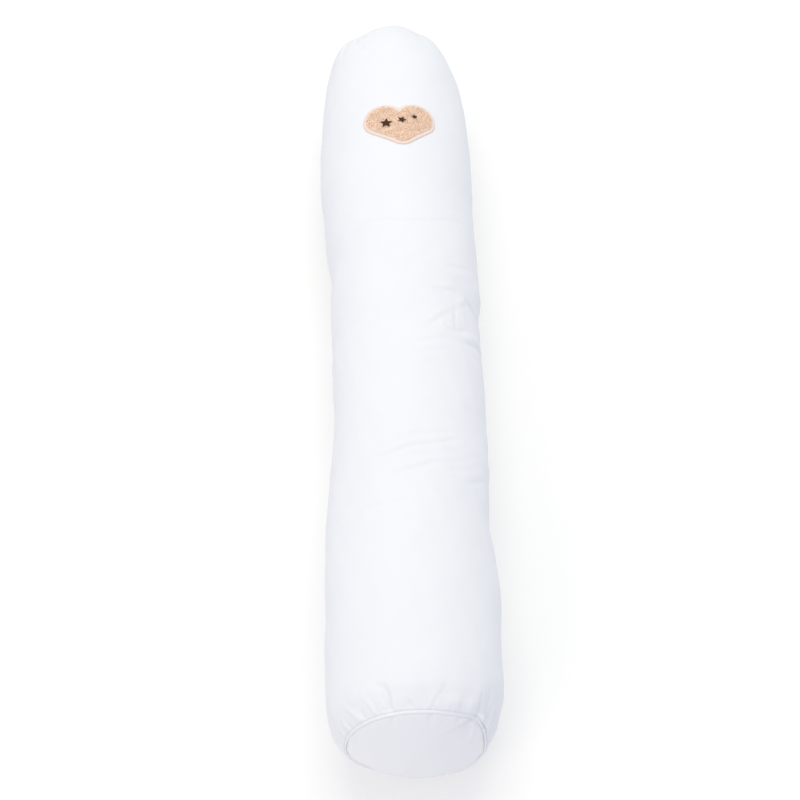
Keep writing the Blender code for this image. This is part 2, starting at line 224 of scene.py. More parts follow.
# ------------------------------------------------- the gathered ends, simulated
def gathered(end, caught, around=200, rows=56, length=0.17, frames=26):
    """Cloth simulation of one end: the full-size tube's edge is drawn in to the ring while
    the filling presses out.  Returns how the folds stand off the plain form, on a grid of
    distance from the ring and angle."""
    angle = 2 * np.pi * np.arange(around) / around
    t = np.linspace(0, 1, rows)
    dist = length * (0.35 * t + 0.65 * t**1.6)
    y = end * (RING_Y - dist)
    aim = tube(y[:, None], angle[None])
    a = half_width(y)
    arc = np.concatenate([[0], np.cumsum(np.hypot(np.diff(a), np.diff(y)))])
    full = np.maximum(a, CUT_RADIUS)
    nx, nz = np.sin(angle), np.cos(angle)
    bite = np.zeros(around)
    for place, strength in caught:
        bite += strength * np.exp(-(wrap(np.degrees(angle) - place) / 4.5) ** 2)
    bite -= bite.mean()
    start = np.empty_like(aim)
    dent = 0.0015 * bite[None] * np.exp(-(dist / 0.035) ** 2)[:, None]
    start[..., 0] = middle_x(y)[:, None] + (full[:, None] - dent) * nx
    start[..., 2] = middle_z(y)[:, None] + (full[:, None] * HEIGHT_TO_WIDTH - dent) * nz
    start[..., 1] = (y[-1] + end * (arc[-1] - arc))[:, None] + (aim[..., 1] - y[:, None])
    aim_pins = aim.copy()
    aim_pins[0, :, 0] -= 0.0006 * bite * nx
    aim_pins[0, :, 2] -= 0.0006 * bite * nz
    i, j = np.meshgrid(np.arange(rows - 1), np.arange(around), indexing="ij")
    k = (j + 1) % around
    quads = np.stack([i * around + j, i * around + k, (i + 1) * around + k, (i + 1) * around + j], -1)
    if end > 0:
        quads = quads[..., ::-1]
    mesh = bpy.data.meshes.new("gather_sim")
    mesh.from_pydata(start.reshape(-1, 3).tolist(), [], quads.reshape(-1, 4).tolist())
    face, centre = mesh.polygons[0].normal, mesh.polygons[0].center
    if face.x * (centre.x - middle_x(y[0])) + face.z * (centre.z - RING_Z) < 0:
        mesh.flip_normals()
    cloth = bpy.data.objects.new("gather_sim", mesh)
    bpy.context.scene.collection.objects.link(cloth)
    cloth.shape_key_add(name="cut")
    key = cloth.shape_key_add(name="drawn_in")
    key.data.foreach_set("co", np.ascontiguousarray(aim_pins).ravel())
    key.value = 0.0
    key.keyframe_insert("value", frame=1)
    key.value = 1.0
    key.keyframe_insert("value", frame=16)
    pins = cloth.vertex_groups.new(name="pins")
    pins.add(list(range(around)) + list(range((rows - 1) * around, rows * around)), 1.0, "REPLACE")
    mod = cloth.modifiers.new("Cloth", "CLOTH")
    s = mod.settings
    s.quality = 6
    s.mass = 0.3
    s.tension_stiffness = s.compression_stiffness = 15
    s.shear_stiffness = 5
    s.bending_stiffness = 0.5
    s.use_pressure = True
    s.uniform_pressure_force = 4.0
    s.vertex_group_mass = "pins"
    s.effector_weights.gravity = 0.0
    mod.collision_settings.use_collision = False
    mod.point_cache.frame_start, mod.point_cache.frame_end = 1, frames
    scene = bpy.context.scene
    scene.frame_start, scene.frame_end = 1, frames
    for f in range(1, frames + 1):
        scene.frame_set(f)
    done = cloth.evaluated_get(bpy.context.evaluated_depsgraph_get())
    got = np.empty(rows * around * 3)
    done.data.vertices.foreach_get("co", got)
    got = got.reshape(rows, around, 3)
    cloth.modifiers.remove(mod)
    bpy.data.objects.remove(cloth, do_unlink=True)
    for action in list(bpy.data.actions):
        bpy.data.actions.remove(action)
    scene.frame_set(1)
    off = got - aim
    ring_waves = np.fft.rfft(off, axis=1)
    order = np.arange(ring_waves.shape[1])
    keep = np.where(order < 6, 0.0, np.exp(-(np.clip(order - 22, 0, None) / 12.0) ** 2))
    ring_waves *= keep[None, :, None]                          # the folds: no overall bulge, no fine ripple
    off = np.fft.irfft(ring_waves, n=around, axis=1)
    return dist, np.clip(off, -0.006, 0.006)


def resample(dist, off, at):
    """The simulated folds on the pillow's own grid."""
    n = off.shape[1]
    parts = np.fft.rfft(off, axis=1)[:, :64] * (2.0 / n)
    parts[:, 0] *= 0.5
    turns = np.exp(1j * np.arange(parts.shape[1])[:, None] * ANGLE[None])
    fine = np.einsum("rkc,ka->rac", parts, turns).real
    at = np.clip(at, dist[0], dist[-1])
    i = np.clip(np.searchsorted(dist, at, side="right") - 1, 0, len(dist) - 2)
    t = ((at - dist[i]) / (dist[i + 1] - dist[i]))[:, None, None]
    im, ip = np.clip(i - 1, 0, None), np.clip(i + 2, None, len(dist) - 1)
    p0, p1, p2, p3 = fine[im], fine[i], fine[i + 1], fine[ip]
    return 0.5 * (2 * p1 + (p2 - p0) * t + (2 * p0 - 5 * p1 + 4 * p2 - p3) * t**2
                  + (3 * p1 - p0 - 3 * p2 + p3) * t**3)


# ------------------------------------------------------------ folds, one by one
# Each row is one fold: its line over the cloth as (y in mm, angle in degrees); its depth in mm,
# less than 0 for a ridge; its half width in mm where the line starts and where it ends; the lip
# that stands up beside it (positive on the line's left); 1 where its end is caught in the seam.
FOLDS = (
    # near end: the gathers over the top
    (((-454.5, -28), (-456.8, -24.9), (-457.4, -22.4), (-460.6, -20.8), (-467.6, -20.2), (-475.7, -20.1),
      (-480.5, -19.6)), 2.2, 4.0, 2.4, 0.5, 1),
    (((-455.4, -38.7), (-463.1, -37.9), (-470.9, -34.4), (-478, -32.7)), -1.0, 2.8, 2.0, 0, 1),
    (((-460, -42.2), (-472.4, -43.9), (-479, -43)), 0.9, 3.4, 2.2, 0, 1),
    (((-460, -33.2), (-474.6, -30.4), (-480, -30)), 1.1, 2.8, 1.9, 0, 1),
    (((-462.8, -27.9), (-475, -24.2)), -0.8, 2.8, 2.0, 0, 1),
    (((-470.1, -6.9), (-474.6, -4.6), (-480.5, -1.9)), 1.0, 2.6, 2.0, 0.3, 1),
    (((-450.2, 20.1), (-457.6, 20.4), (-463.5, 18.4), (-467.9, 16.6), (-473.8, 13.9), (-480.5, 12.1)),
     0.4, 2.8, 1.9, -0.25, 1),
    (((-464, 26), (-472, 25), (-479, 24)), -0.45, 3.6, 2.6, 0, 1),
    (((-464.8, 35.4), (-472, 34.4), (-480.5, 36.7)), 0.5, 3.0, 2.0, 0, 1),
    (((-463, 29.5), (-479.5, 30.5)), -0.6, 4.4, 3.4, 0, 1),
    (((-463, 40.7), (-479.5, 44)), -0.7, 4.2, 3.4, 0, 1),
    (((-440, 46), (-462, 46.5), (-480.5, 47.5)), -2.0, 10.0, 8.0, 0, 1),
    # near end, left: a lobe, then narrow pleats
    (((-459.4, -57.9), (-466.4, -54.2), (-478, -47.4)), -1.5, 4.4, 3.6, 0, 1),
    (((-470.5, -62.9), (-480.5, -60.9)), 1.3, 1.7, 1.3, 0, 1),
    (((-471.3, -66.9), (-479, -64.2)), -0.6, 1.6, 1.4, 0, 1),
    (((-460, -68.9), (-480.5, -68.9)), 1.9, 2.0, 1.5, 0, 1),
    (((-465, -76.5), (-479, -74.2)), -1.0, 2.0, 1.6, 0, 1),
    (((-458, -79.2), (-480, -80)), 1.7, 2.0, 1.5, 0, 1),
    (((-462, -88.2), (-480, -89.2)), 1.3, 2.0, 1.5, 0, 1),
    # near end, right: a sharp pleat that laps over, then a ridge
    (((-450, 48.4), (-459.8, 48.9), (-468.7, 50.4), (-476.8, 54.4), (-480.5, 55.4)), 1.7, 1.8, 1.5, 0, 1),
    (((-459, 53.4), (-466.4, 55.4), (-475.3, 59.6), (-480.5, 62)), -1.5, 2.6, 3.2, 0, 1),
    (((-446, 56.5), (-464.2, 61.5), (-476, 66)), 1.5, 4.0, 3.0, 0, 1),
    (((-456, 65.4), (-469, 67.2), (-480, 69)), 1.2, 2.0, 1.6, 0, 1),
    (((-455, 68.4), (-466.8, 72), (-475, 74.6), (-480, 77)), -1.9, 2.4, 2.0, 0, 1),
    (((-462, 84), (-472, 86), (-480, 88)), 0.9, 2.2, 1.8, 0.2, 1),
    # far end
    (((448, -27.9), (461.6, -34), (472, -36), (480.5, -33)), 1.6, 6.0, 3.0, 0, 1),
    (((407.3, -7.9), (419.1, -11.1), (432.1, -20.4), (448, -27.9), (458, -32)), 1.6, 5.0, 5.5, 0, 0),
    (((455.7, -19.6), (466, -25), (480.5, -29)), 0.7, 4.0, 2.4, 0, 1),
    (((441, -53.6), (452, -53), (463.9, -51.8), (474, -49.8), (480, -46)), -1.8, 2.8, 2.8, 0, 0),
    (((404, -10.6), (424.7, -24.4)), -0.4, 2.4, 2.6, 0, 0),
    (((442, 27), (451.7, 28.9), (457.2, 24.4), (461.6, 19.6), (468, 17)), 0.4, 4.0, 3.2, 0, 0),
    (((458, 36), (468, 32), (480.5, 30)), 0.8, 4.5, 3.0, 0, 1),
    (((458, 44), (470, 42)), -0.7, 3.4, 3.0, 0, 1),
    # crumple on the right, past the middle
    (((55.6, 2.1), (52.7, 12.4), (51.6, 20.9), (52, 27), (53.1, 32.4), (56, 40), (60.1, 47.4)),
     0.6, 2.6, 2.8, 0.5, 0),
    (((51.5, 25), (52.3, 30), (54.5, 37), (58.5, 44.5)), 0.5, 3.0, 3.2, 0.4, 0),
    (((41.5, 43), (48.8, 48.6), (55, 53.4)), -2.0, 4.8, 4.4, 0, 0),
    (((57, 52), (53.5, 58), (51.5, 64.5), (48.5, 71), (45.5, 79.5), (41, 98)), 3.2, 3.4, 6.0, -0.8, 0),
    (((36, 46), (32, 47.2), (22.7, 50.2), (15, 52)), -0.9, 3.4, 3.4, 0, 0),
    (((-8.3, 13.5), (0.2, 19.5), (13.9, 28.7), (27.4, 38.4)), 0.9, 2.6, 3.2, 0.7, 0),
    (((36, 40.6), (28.7, 40.4), (12.4, 40.0), (-4, 40)), 1.1, 2.3, 2.4, 0, 0),
    (((8.5, 30.5), (0, 31), (-2.8, 33), (-2, 37.5), (0.4, 43), (4, 48), (7.5, 53.5)), 1.4, 2.8, 3.0, 0, 0),
    (((30, 42), (18, 46.5)), -0.4, 3.4, 3.4, 0, 0),
    (((3.6, 50), (4.8, 56), (6, 63.4), (7, 74)), -1.5, 3.2, 3.8, 0, 0),
    (((-12, 49), (-9.5, 53), (-6.8, 58.7), (-2, 69.7), (0, 92)), 1.8, 3.2, 4.6, 0.9, 0),
    (((-19, 57), (-22, 66), (-23, 84)), 0.9, 3.6, 5.0, 0, 1),
    (((-35.3, 1.1), (-25.7, 16.4), (-18.3, 31.4)), 1.0, 3.8, 3.4, 0.3, 0),
    (((-49, 1), (-45.5, 9.4), (-39.6, 20), (-35.7, 31)), 0.7, 3.0, 3.0, 0.2, 0),
    (((-62.7, 5), (-59.7, 12.9), (-51.2, 24)), 0.6, 3.2, 3.0, 0.2, 0),
    (((44.6, 7.9), (28, 7.4), (12.8, 6.9)), 0.35, 2.0, 2.0, 0, 0),
    (((91.1, 14.4), (100.8, 20.6)), 0.5, 2.8, 2.8, 0, 0),
    (((88.9, 32), (91.9, 44.2), (101.5, 60)), 0.7, 2.8, 3.2, 0.4, 0),
    (((80, 36), (83, 47), (89, 61)), -0.6, 3.0, 3.2, 0, 0),
    (((-97, 41), (-103.5, 47.4), (-106.3, 56), (-104, 70), (-101, 86)), 0.9, 4.4, 5.5, 0, 0),
    # across the top below the patch
    (((159.2, -42), (152, -29), (148.6, -20), (144.8, -4.1), (144.8, 12.6), (148.8, 24.7), (155, 34),
      (161.4, 46.4), (162.5, 54), (160, 62), (154, 69), (144, 76)), 0.6, 2.4, 3.2, 0.3, 0),
    (((187, 8), (181, 18)), 0.5, 2.8, 2.8, 0, 0),
    (((-31, -68), (-27.5, -61.7), (-29, -53)), 0.6, 2.8, 2.6, 0.2, 0),
    (((-137, -47), (-140.5, -36.4), (-144, -27)), 0.5, 3.4, 3.0, 0.2, 0),
    (((182.5, 37), (188.8, 60)), -0.6, 3.6, 3.6, 0, 0),
    # arcs across the middle of the near half
    (((-164, -13), (-160, -5), (-156.2, 4), (-154, 14), (-150.3, 26), (-144, 38)), 1.2, 3.0, 2.8, 0.2, 0),
    (((-186.5, -28), (-184.2, -17), (-179.2, -8.1), (-174.4, 1.6), (-170.2, 13.6), (-162.2, 27.2),
      (-151.6, 39)), 1.25, 3.8, 3.0, 0.6, 0),
    (((-179.5, -33), (-177.4, -20.4), (-173.8, -8.1), (-168.4, 0.1), (-163.6, 8)), -0.8, 3.2, 3.0, 0, 0),
    (((-187.5, -20), (-186.2, -6), (-184.2, 7.1), (-182.4, 24)), 0.55, 2.8, 2.6, 0.4, 0),
    (((-198.7, -25), (-203.4, -17), (-207.6, -8.5)), 0.55, 2.8, 2.8, 0.3, 0),
    (((-195.4, -19), (-193.2, -10)), 0.4, 2.6, 2.6, 0.2, 0),
    (((-211.5, -15), (-209.5, -9), (-205.8, -1.1), (-203, 5.1), (-198, 11.9), (-193.2, 16.6), (-189.6, 27.4),
      (-188.4, 38.4)), 1.25, 3.8, 3.0, 0.7, 0),
    (((-173.8, 27), (-172, 36), (-170, 44)), 0.6, 3.0, 3.0, 0.2, 0),
    (((-183, 36), (-172, 47), (-160.8, 60)), 0.35, 3.2, 3.4, 0.2, 0),
    (((-199, 28), (-194, 40), (-188, 51.5)), 0.3, 2.8, 2.8, 0.2, 0),
    (((-210.5, 43), (-203, 52.2), (-191, 64), (-186, 74)), 0.9, 3.4, 4.4, 0.4, 0),
    (((-238, -44), (-241, -33), (-242.5, -24), (-241.6, -14), (-238.3, -6), (-235, 2), (-233.4, 12)),
     1.7, 3.8, 3.4, 0, 0),
    (((-246, -34), (-248.6, -20), (-245.4, -9), (-241, 1), (-238.6, 12)), -0.8, 3.6, 3.2, 0, 0),
    (((-236.5, 7), (-236.1, 10), (-234.6, 17.4), (-231.5, 24)), 0.55, 2.8, 2.6, 0.3, 0),
)


# Soft presses and swells that the sides show: place along in mm, angle, how far out in mm,
# reach along in mm, reach around in degrees.
PRESSES = (
    (-458, 92, -2.6, 24, 34), (-462, -92, 1.5, 13, 28), (-332, -90, -1.2, 24, 34), (-262, -90, -1.0, 11, 26),
    (-228, -90, 1.0, 15, 30), (-72, -90, -1.1, 18, 34), (-2, -88, 1.3, 10, 26), (122, -90, -1.2, 22, 32),
    (345, -90, -1.1, 38, 34), (-242, 90, -2.5, 24, 32), (-160, 88, 1.1, 13, 28), (-122, 90, 0.8, 14, 28),
    (82, 88, 1.7, 11, 26), (138, 90, -0.8, 14, 28), (-335, 90, 0.7, 20, 30),
    (-255, 63, 1.7, 190, 24), (-255, 93, -0.7, 190, 13), (-473, 36, 1.7, 9, 20),
)


def press_field(y, angle):
    out = np.zeros(np.broadcast(y, angle).shape)
    for at, turn, amount, along, around in PRESSES:
        out = out + 0.001 * amount * np.exp(-((y * 1000 - at) / along) ** 2
                                            - (wrap(np.degrees(angle) - turn) / around) ** 2)
    return out


def fold_field(grid, normal):
    """Height of all the folds over the plain form."""
    field = np.zeros(grid.shape[:2])
    for line, depth, start_width, end_width, lip, caught in FOLDS:
        pts = np.array(line, float)
        n = len(pts)
        t = np.linspace(0, n - 1, 10 * (n - 1) + 1)
        y = np.interp(t, np.arange(n), pts[:, 0])
        a = np.interp(t, np.arange(n), pts[:, 1])
        for _ in range(6):                       # round the corners of the line
            y[1:-1] = 0.25 * y[:-2] + 0.5 * y[1:-1] + 0.25 * y[2:]
            a[1:-1] = 0.25 * a[:-2] + 0.5 * a[1:-1] + 0.25 * a[2:]
        curve = tube(y / 1000, np.radians(a))
        reach = 0.0045 * max(start_width, end_width)
        near = np.all((grid > curve.min(0) - reach) & (grid < curve.max(0) + reach), axis=-1)
        if not near.any():
            continue
        p, nrm = grid[near], normal[near]
        best = np.full(len(p), 1e9)
        along = np.zeros(len(p))
        side = np.zeros(len(p))
        steps = len(curve) - 1
        for k in range(steps):
            e = curve[k + 1] - curve[k]
            s = np.clip(((p - curve[k]) @ e) / (e @ e), 0, 1)
            v = p - curve[k] - s[:, None] * e
            dd = (v * v).sum(-1)
            better = dd < best
            best = np.where(better, dd, best)
            along = np.where(better, (k + s) / steps, along)
            side = np.where(better, np.sign((np.cross(nrm, e) * v).sum(-1)), side)
        if caught:
            taper = np.sin(0.5 * np.pi * np.clip(along, 0.02, 1)) ** 0.8
        else:
            taper = np.sin(np.pi * np.clip(along, 0.02, 0.98)) ** 0.6
        q = np.sqrt(best) * 1000 / (start_width + (end_width - start_width) * along)
        value = -depth * np.exp(-(q / (0.75 + 0.25 * taper)) ** 2)
        if lip:
            value = value + abs(lip) * np.exp(-((side * np.sign(lip) * q - 1.9) / 1.1) ** 2)
        field[near] += value * taper * 0.001
    return field


# ------------------------------------------------------------- mesh utilities
def tube_mesh(name, rings, coarse, first, last, us, vs):
    """rings: array (rows, around, 3), closed around, between two end points.  Rows marked
    coarse keep every second column.  us and vs are metres of cloth for each column and row,
    so that the weave keeps its scale."""
    rows, around = rings.shape[:2]
    used = np.ones((rows, around), bool)
    used[np.asarray(coarse), 1::2] = False
    index = np.full((rows, around), -1)
    index[used] = np.arange(used.sum())
    verts = np.concatenate([rings[used], [first, last]])
    faces, corners = [], []

    def strip(*cells):
        """Each cell is (row, columns): one corner of every face of a strip."""
        faces.extend(np.stack([index[row, cols % around] for row, cols in cells], -1).tolist())
        corners.append(np.stack([np.stack([us[cols], np.full(len(cols), vs[row])], -1)
                                 for row, cols in cells], 1).reshape(-1, 2))

    for i in range(rows - 1):
        step = 1 if not (coarse[i] or coarse[i + 1]) else 2
        j = np.arange(0, around, step)
        k, m = j + step, j + 1
        if coarse[i] == coarse[i + 1]:
            strip((i, j), (i, k), (i + 1, k), (i + 1, j))
        elif coarse[i]:
            strip((i, j), (i + 1, m), (i + 1, j))
            strip((i, j), (i, k), (i + 1, m))
            strip((i, k), (i + 1, k), (i + 1, m))
        else:
            strip((i, j), (i, m), (i + 1, j))
            strip((i, m), (i + 1, k), (i + 1, j))
            strip((i, m), (i, k), (i + 1, k))
    for row, tip, turn in ((0, len(verts) - 2, -1), (rows - 1, len(verts) - 1, 1)):
        ring = index[row][used[row]]
        after = np.roll(ring, -1)
        pair = (after, ring) if turn < 0 else (ring, after)
        faces.extend(np.stack([pair[0], pair[1], np.full(len(ring), tip)], -1).tolist())
        corners.append(np.zeros((3 * len(ring), 2)))
    mesh = bpy.data.meshes.new(name)
    mesh.from_pydata(verts.tolist(), [], faces)
    mesh.uv_layers.new(name="cloth").data.foreach_set("uv", np.concatenate(corners).ravel())
    bm = bmesh.new()
    bm.from_mesh(mesh)
    if bm.calc_volume(signed=True) < 0:
        bmesh.ops.reverse_faces(bm, faces=bm.faces[:])
    bm.to_mesh(mesh)
    bm.free()
    mesh.shade_smooth()
    return mesh


def closed_mesh(name, co, faces, flat=None):
    """A closed body facing out; flat names the two axes that carry the weave."""
    mesh = bpy.data.meshes.new(name)
    mesh.from_pydata(co.tolist(), [], faces)
    if flat:
        index = np.empty(len(mesh.loops), int)
        mesh.loops.foreach_get("vertex_index", index)
        mesh.uv_layers.new(name="cloth").data.foreach_set(
            "uv", np.stack([co[index, flat[0]], co[index, flat[1]]], -1).ravel())
    bm = bmesh.new()
    bm.from_mesh(mesh)
    if bm.calc_volume(signed=True) < 0:
        bmesh.ops.reverse_faces(bm, faces=bm.faces[:])
    bm.to_mesh(mesh)
    bm.free()
    mesh.shade_smooth()
    return mesh


def add(name, mesh, material, stands_for=None):
    thing = bpy.data.objects.new(name, mesh)
    bpy.context.scene.collection.objects.link(thing)
    mesh.materials.append(material)
    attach(thing, BODY)
    if stands_for:
        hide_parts(stands_for)
    return thing


def tubes(name, runs, sides=6):
    """Many short threads joined into one mesh.  runs: (points, radii, up) arrays."""
    verts, faces = [], []
    base = 0
    for pts, radii, up in runs:
        n = len(pts)
        tangent = np.gradient(pts, axis=0)
        tangent /= np.linalg.norm(tangent, axis=1)[:, None]
        side = np.cross(tangent, up)
        side /= np.linalg.norm(side, axis=1)[:, None]
        lift = np.cross(side, tangent)
        turn = 2 * np.pi * np.arange(sides) / sides
        ring = (pts[:, None] + radii[:, None, None] * (np.cos(turn)[None, :, None] * side[:, None]
                                                       + np.sin(turn)[None, :, None] * lift[:, None]))
        verts.append(ring.reshape(-1, 3))
        for a in range(n - 1):
            for b in range(sides):
                c = (b + 1) % sides
                faces.append((base + a * sides + b, base + (a + 1) * sides + b,
                              base + (a + 1) * sides + c, base + a * sides + c))
        faces.append(tuple(base + b for b in range(sides)))
        faces.append(tuple(base + (n - 1) * sides + b for b in reversed(range(sides))))
        base += n * sides
    return closed_mesh(name, np.concatenate(verts), faces)


# ---------------------------------------------------------------- materials
def node(tree, kind, **values):
    made = tree.nodes.new(kind)
    for key, value in values.items():
        setattr(made, key, value)
    return made


def math_node(tree, op, a, b=None):
    made = node(tree, "ShaderNodeMath", operation=op)
    for slot_, value in enumerate((a, b)):
        if value is None:
            continue
        if isinstance(value, (int, float)):
            made.inputs[slot_].default_value = value
        else:
            tree.links.new(value, made.inputs[slot_])
    return made.outputs[0]


def woven(name, colour, shade, pitch=0.00042, roughness=0.8, sheen=0.04, weave=0.35, swell=0.4):
    """Plain-woven cotton: over-and-under threads, uneven yarn, faint colour drift, and painted shade between the
    threads.
    """
    mat = bpy.data.materials.new(name)
    mat.use_nodes = True
    tree = mat.node_tree
    tree.nodes.clear()
    out = node(tree, "ShaderNodeOutputMaterial")
    shader = node(tree, "ShaderNodeBsdfPrincipled")
    tree.links.new(shader.outputs[0], out.inputs["Surface"])
    shader.inputs["Roughness"].default_value = roughness
    shader.inputs["Metallic"].default_value = 0.0
    shader.inputs["Specular IOR Level"].default_value = 0.3
    shader.inputs["Sheen Weight"].default_value = sheen
    shader.inputs["Sheen Roughness"].default_value = 0.45
    uv = node(tree, "ShaderNodeUVMap", uv_map="cloth")
    split = node(tree, "ShaderNodeSeparateXYZ")
    tree.links.new(uv.outputs[0], split.inputs[0])
    place = node(tree, "ShaderNodeTexCoord")
    # threads
    su = math_node(tree, "SINE", math_node(tree, "MULTIPLY", split.outputs[0], math.pi / pitch))
    sv = math_node(tree, "SINE", math_node(tree, "MULTIPLY", split.outputs[1], math.pi / pitch))
    over = math_node(tree, "MULTIPLY", su, sv)
    cu = math_node(tree, "ABSOLUTE", su)
    cv = math_node(tree, "ABSOLUTE", sv)
    thread = math_node(tree, "MAXIMUM", math_node(tree, "ADD", cu, math_node(tree, "MULTIPLY", over, 0.4)),
                       math_node(tree, "SUBTRACT", cv, math_node(tree, "MULTIPLY", over, 0.4)))
    slub = node(tree, "ShaderNodeTexNoise", noise_dimensions="3D")
    slub.inputs["Scale"].default_value = 420.0
    slub.inputs["Detail"].default_value = 3.0
    tree.links.new(place.outputs["Object"], slub.inputs["Vector"])
    cloud = node(tree, "ShaderNodeTexNoise", noise_dimensions="3D")
    cloud.inputs["Scale"].default_value = 14.0
    cloud.inputs["Detail"].default_value = 4.0
    tree.links.new(place.outputs["Object"], cloud.inputs["Vector"])
    height = math_node(tree, "ADD", math_node(tree, "MULTIPLY", thread, 0.6),
                       math_node(tree, "MULTIPLY", slub.outputs["Fac"], 0.5))
    bump = node(tree, "ShaderNodeBump")
    bump.inputs["Strength"].default_value = weave
    bump.inputs["Distance"].default_value = 0.00012
    tree.links.new(height, bump.inputs["Height"])
    soft = node(tree, "ShaderNodeBump")
    soft.inputs["Strength"].default_value = swell
    soft.inputs["Distance"].default_value = 0.0006
    fine = node(tree, "ShaderNodeTexNoise", noise_dimensions="3D")
    fine.inputs["Scale"].default_value = 60.0
    fine.inputs["Detail"].default_value = 2.0
    tree.links.new(place.outputs["Object"], fine.inputs["Vector"])
    tree.links.new(fine.outputs["Fac"], soft.inputs["Height"])
    tree.links.new(bump.outputs["Normal"], soft.inputs["Normal"])
    tree.links.new(soft.outputs["Normal"], shader.inputs["Normal"])
    # colour: drifts a little over the cloth at random, and is painted darker between the threads as painted shade in
    # the weave's hollows
    ramp = node(tree, "ShaderNodeValToRGB")
    ramp.color_ramp.elements[0].position, ramp.color_ramp.elements[1].position = 0.3, 0.7
    ramp.color_ramp.elements[0].color = (*shade, 1)
    ramp.color_ramp.elements[1].color = (*colour, 1)
    drift_and_weave_shade = math_node(tree, "ADD", math_node(tree, "MULTIPLY", cloud.outputs["Fac"], 0.75),
                      math_node(tree, "MULTIPLY", thread, 0.18))
    tree.links.new(drift_and_weave_shade, ramp.inputs["Fac"])
    tree.links.new(ramp.outputs["Color"], shader.inputs["Base Color"])
    return mat


WHITE = woven("white_cotton_cloth", (0.808, 0.812, 0.836), (0.790, 0.794, 0.820))
# The end panels are the same white cotton as the body; this lighter, warmer copy of it is painted light, tuned for how
# light falls on the ends.
LIT_PANEL_CLOTH = woven("end_panel_cloth_lit_copy", (0.822, 0.821, 0.845), (0.806, 0.805, 0.830))
CREAM = woven("cream_border_cloth", (0.84, 0.70, 0.62), (0.79, 0.64, 0.56), pitch=0.00035, sheen=0.1)


def thread_material(name, colour, shade, roughness=0.55, sheen=0.15, shine=0.5):
    mat = bpy.data.materials.new(name)
    mat.use_nodes = True
    tree = mat.node_tree
    shader = tree.nodes["Principled BSDF"]
    shader.inputs["Roughness"].default_value = roughness
    shader.inputs["Sheen Weight"].default_value = sheen
    shader.inputs["Specular IOR Level"].default_value = shine
    place = node(tree, "ShaderNodeTexCoord")
    noise = node(tree, "ShaderNodeTexNoise", noise_dimensions="3D")
    noise.inputs["Scale"].default_value = 900.0
    noise.inputs["Detail"].default_value = 2.0
    tree.links.new(place.outputs["Object"], noise.inputs["Vector"])
    ramp = node(tree, "ShaderNodeValToRGB")
    ramp.color_ramp.elements[0].position, ramp.color_ramp.elements[1].position = 0.35, 0.65
    ramp.color_ramp.elements[0].color = (*shade, 1)
    ramp.color_ramp.elements[1].color = (*colour, 1)
    tree.links.new(noise.outputs["Fac"], ramp.inputs["Fac"])
    tree.links.new(ramp.outputs["Color"], shader.inputs["Base Color"])
    bump = node(tree, "ShaderNodeBump")
    bump.inputs["Strength"].default_value = 0.4
    bump.inputs["Distance"].default_value = 0.0001
    tree.links.new(noise.outputs["Fac"], bump.inputs["Height"])
    tree.links.new(bump.outputs["Normal"], shader.inputs["Normal"])
    return mat


def pile_material(name, low, mid, high):
    mat = bpy.data.materials.new(name)
    mat.use_nodes = True
    tree = mat.node_tree
    shader = tree.nodes["Principled BSDF"]
    shader.inputs["Roughness"].default_value = 0.95
    shader.inputs["Specular IOR Level"].default_value = 0.2
    shader.inputs["Sheen Weight"].default_value = 0.2
    shader.inputs["Sheen Roughness"].default_value = 0.6
    place = node(tree, "ShaderNodeTexCoord")
    noise = node(tree, "ShaderNodeTexNoise", noise_dimensions="3D")
    noise.inputs["Scale"].default_value = 520.0
    noise.inputs["Detail"].default_value = 3.0
    tree.links.new(place.outputs["Object"], noise.inputs["Vector"])
    ramp = node(tree, "ShaderNodeValToRGB")
    ramp.color_ramp.elements[0].position, ramp.color_ramp.elements[1].position = 0.32, 0.68
    ramp.color_ramp.elements[0].color = (*low, 1)
    ramp.color_ramp.elements[1].color = (*high, 1)
    middle = ramp.color_ramp.elements.new(0.5)
    middle.color = (*mid, 1)
    tree.links.new(noise.outputs["Fac"], ramp.inputs["Fac"])
    tree.links.new(ramp.outputs["Color"], shader.inputs["Base Color"])
    bump = node(tree, "ShaderNodeBump")
    bump.inputs["Strength"].default_value = 0.5
    bump.inputs["Distance"].default_value = 0.0003
    tree.links.new(noise.outputs["Fac"], bump.inputs["Height"])
    tree.links.new(bump.outputs["Normal"], shader.inputs["Normal"])
    return mat


# The topstitch thread is white; its grey-violet colour, darker than the cloth, is painted shade for the shadowed
# stitch line and needle holes.
STITCH_THREAD_PAINTED_SHADE = thread_material("white_thread_painted_shade", (0.70, 0.68, 0.75), (0.62, 0.60, 0.68))
CREAM_THREAD = thread_material("cream_thread", (0.84, 0.70, 0.62), (0.74, 0.60, 0.52))
BROWN_THREAD = thread_material("brown_thread", (0.088, 0.040, 0.024), (0.056, 0.026, 0.016), 0.8, 0.0, 0.2)
TERRY = pile_material("tan_terry_pile", (0.78, 0.54, 0.39), (0.89, 0.67, 0.51), (0.95, 0.79, 0.65))

# ------------------------------------------------------------ the pillow body


# place along Y in mm, how far apart the rows stand there
ROW_STEPS = ((-480.5, 0.55), (-473, 0.60), (-455, 1.35), (-425, 2.7), (-400, 4.8), (-262, 4.8), (-246, 2.0),
             (-142, 2.0), (-128, 4.6), (-116, 3.8), (-80, 3.8), (-66, 2.4), (-46, 1.9), (100, 1.9), (112, 4.2), (130, 4.2), (140, 2.3),
             (166, 2.3), (178, 4.6), (240, 4.6), (255, 3.3), (330, 3.3), (345, 4.6), (400, 3.6), (440, 2.1), (462, 1.2), (474, 0.62), (480.5, 0.55))


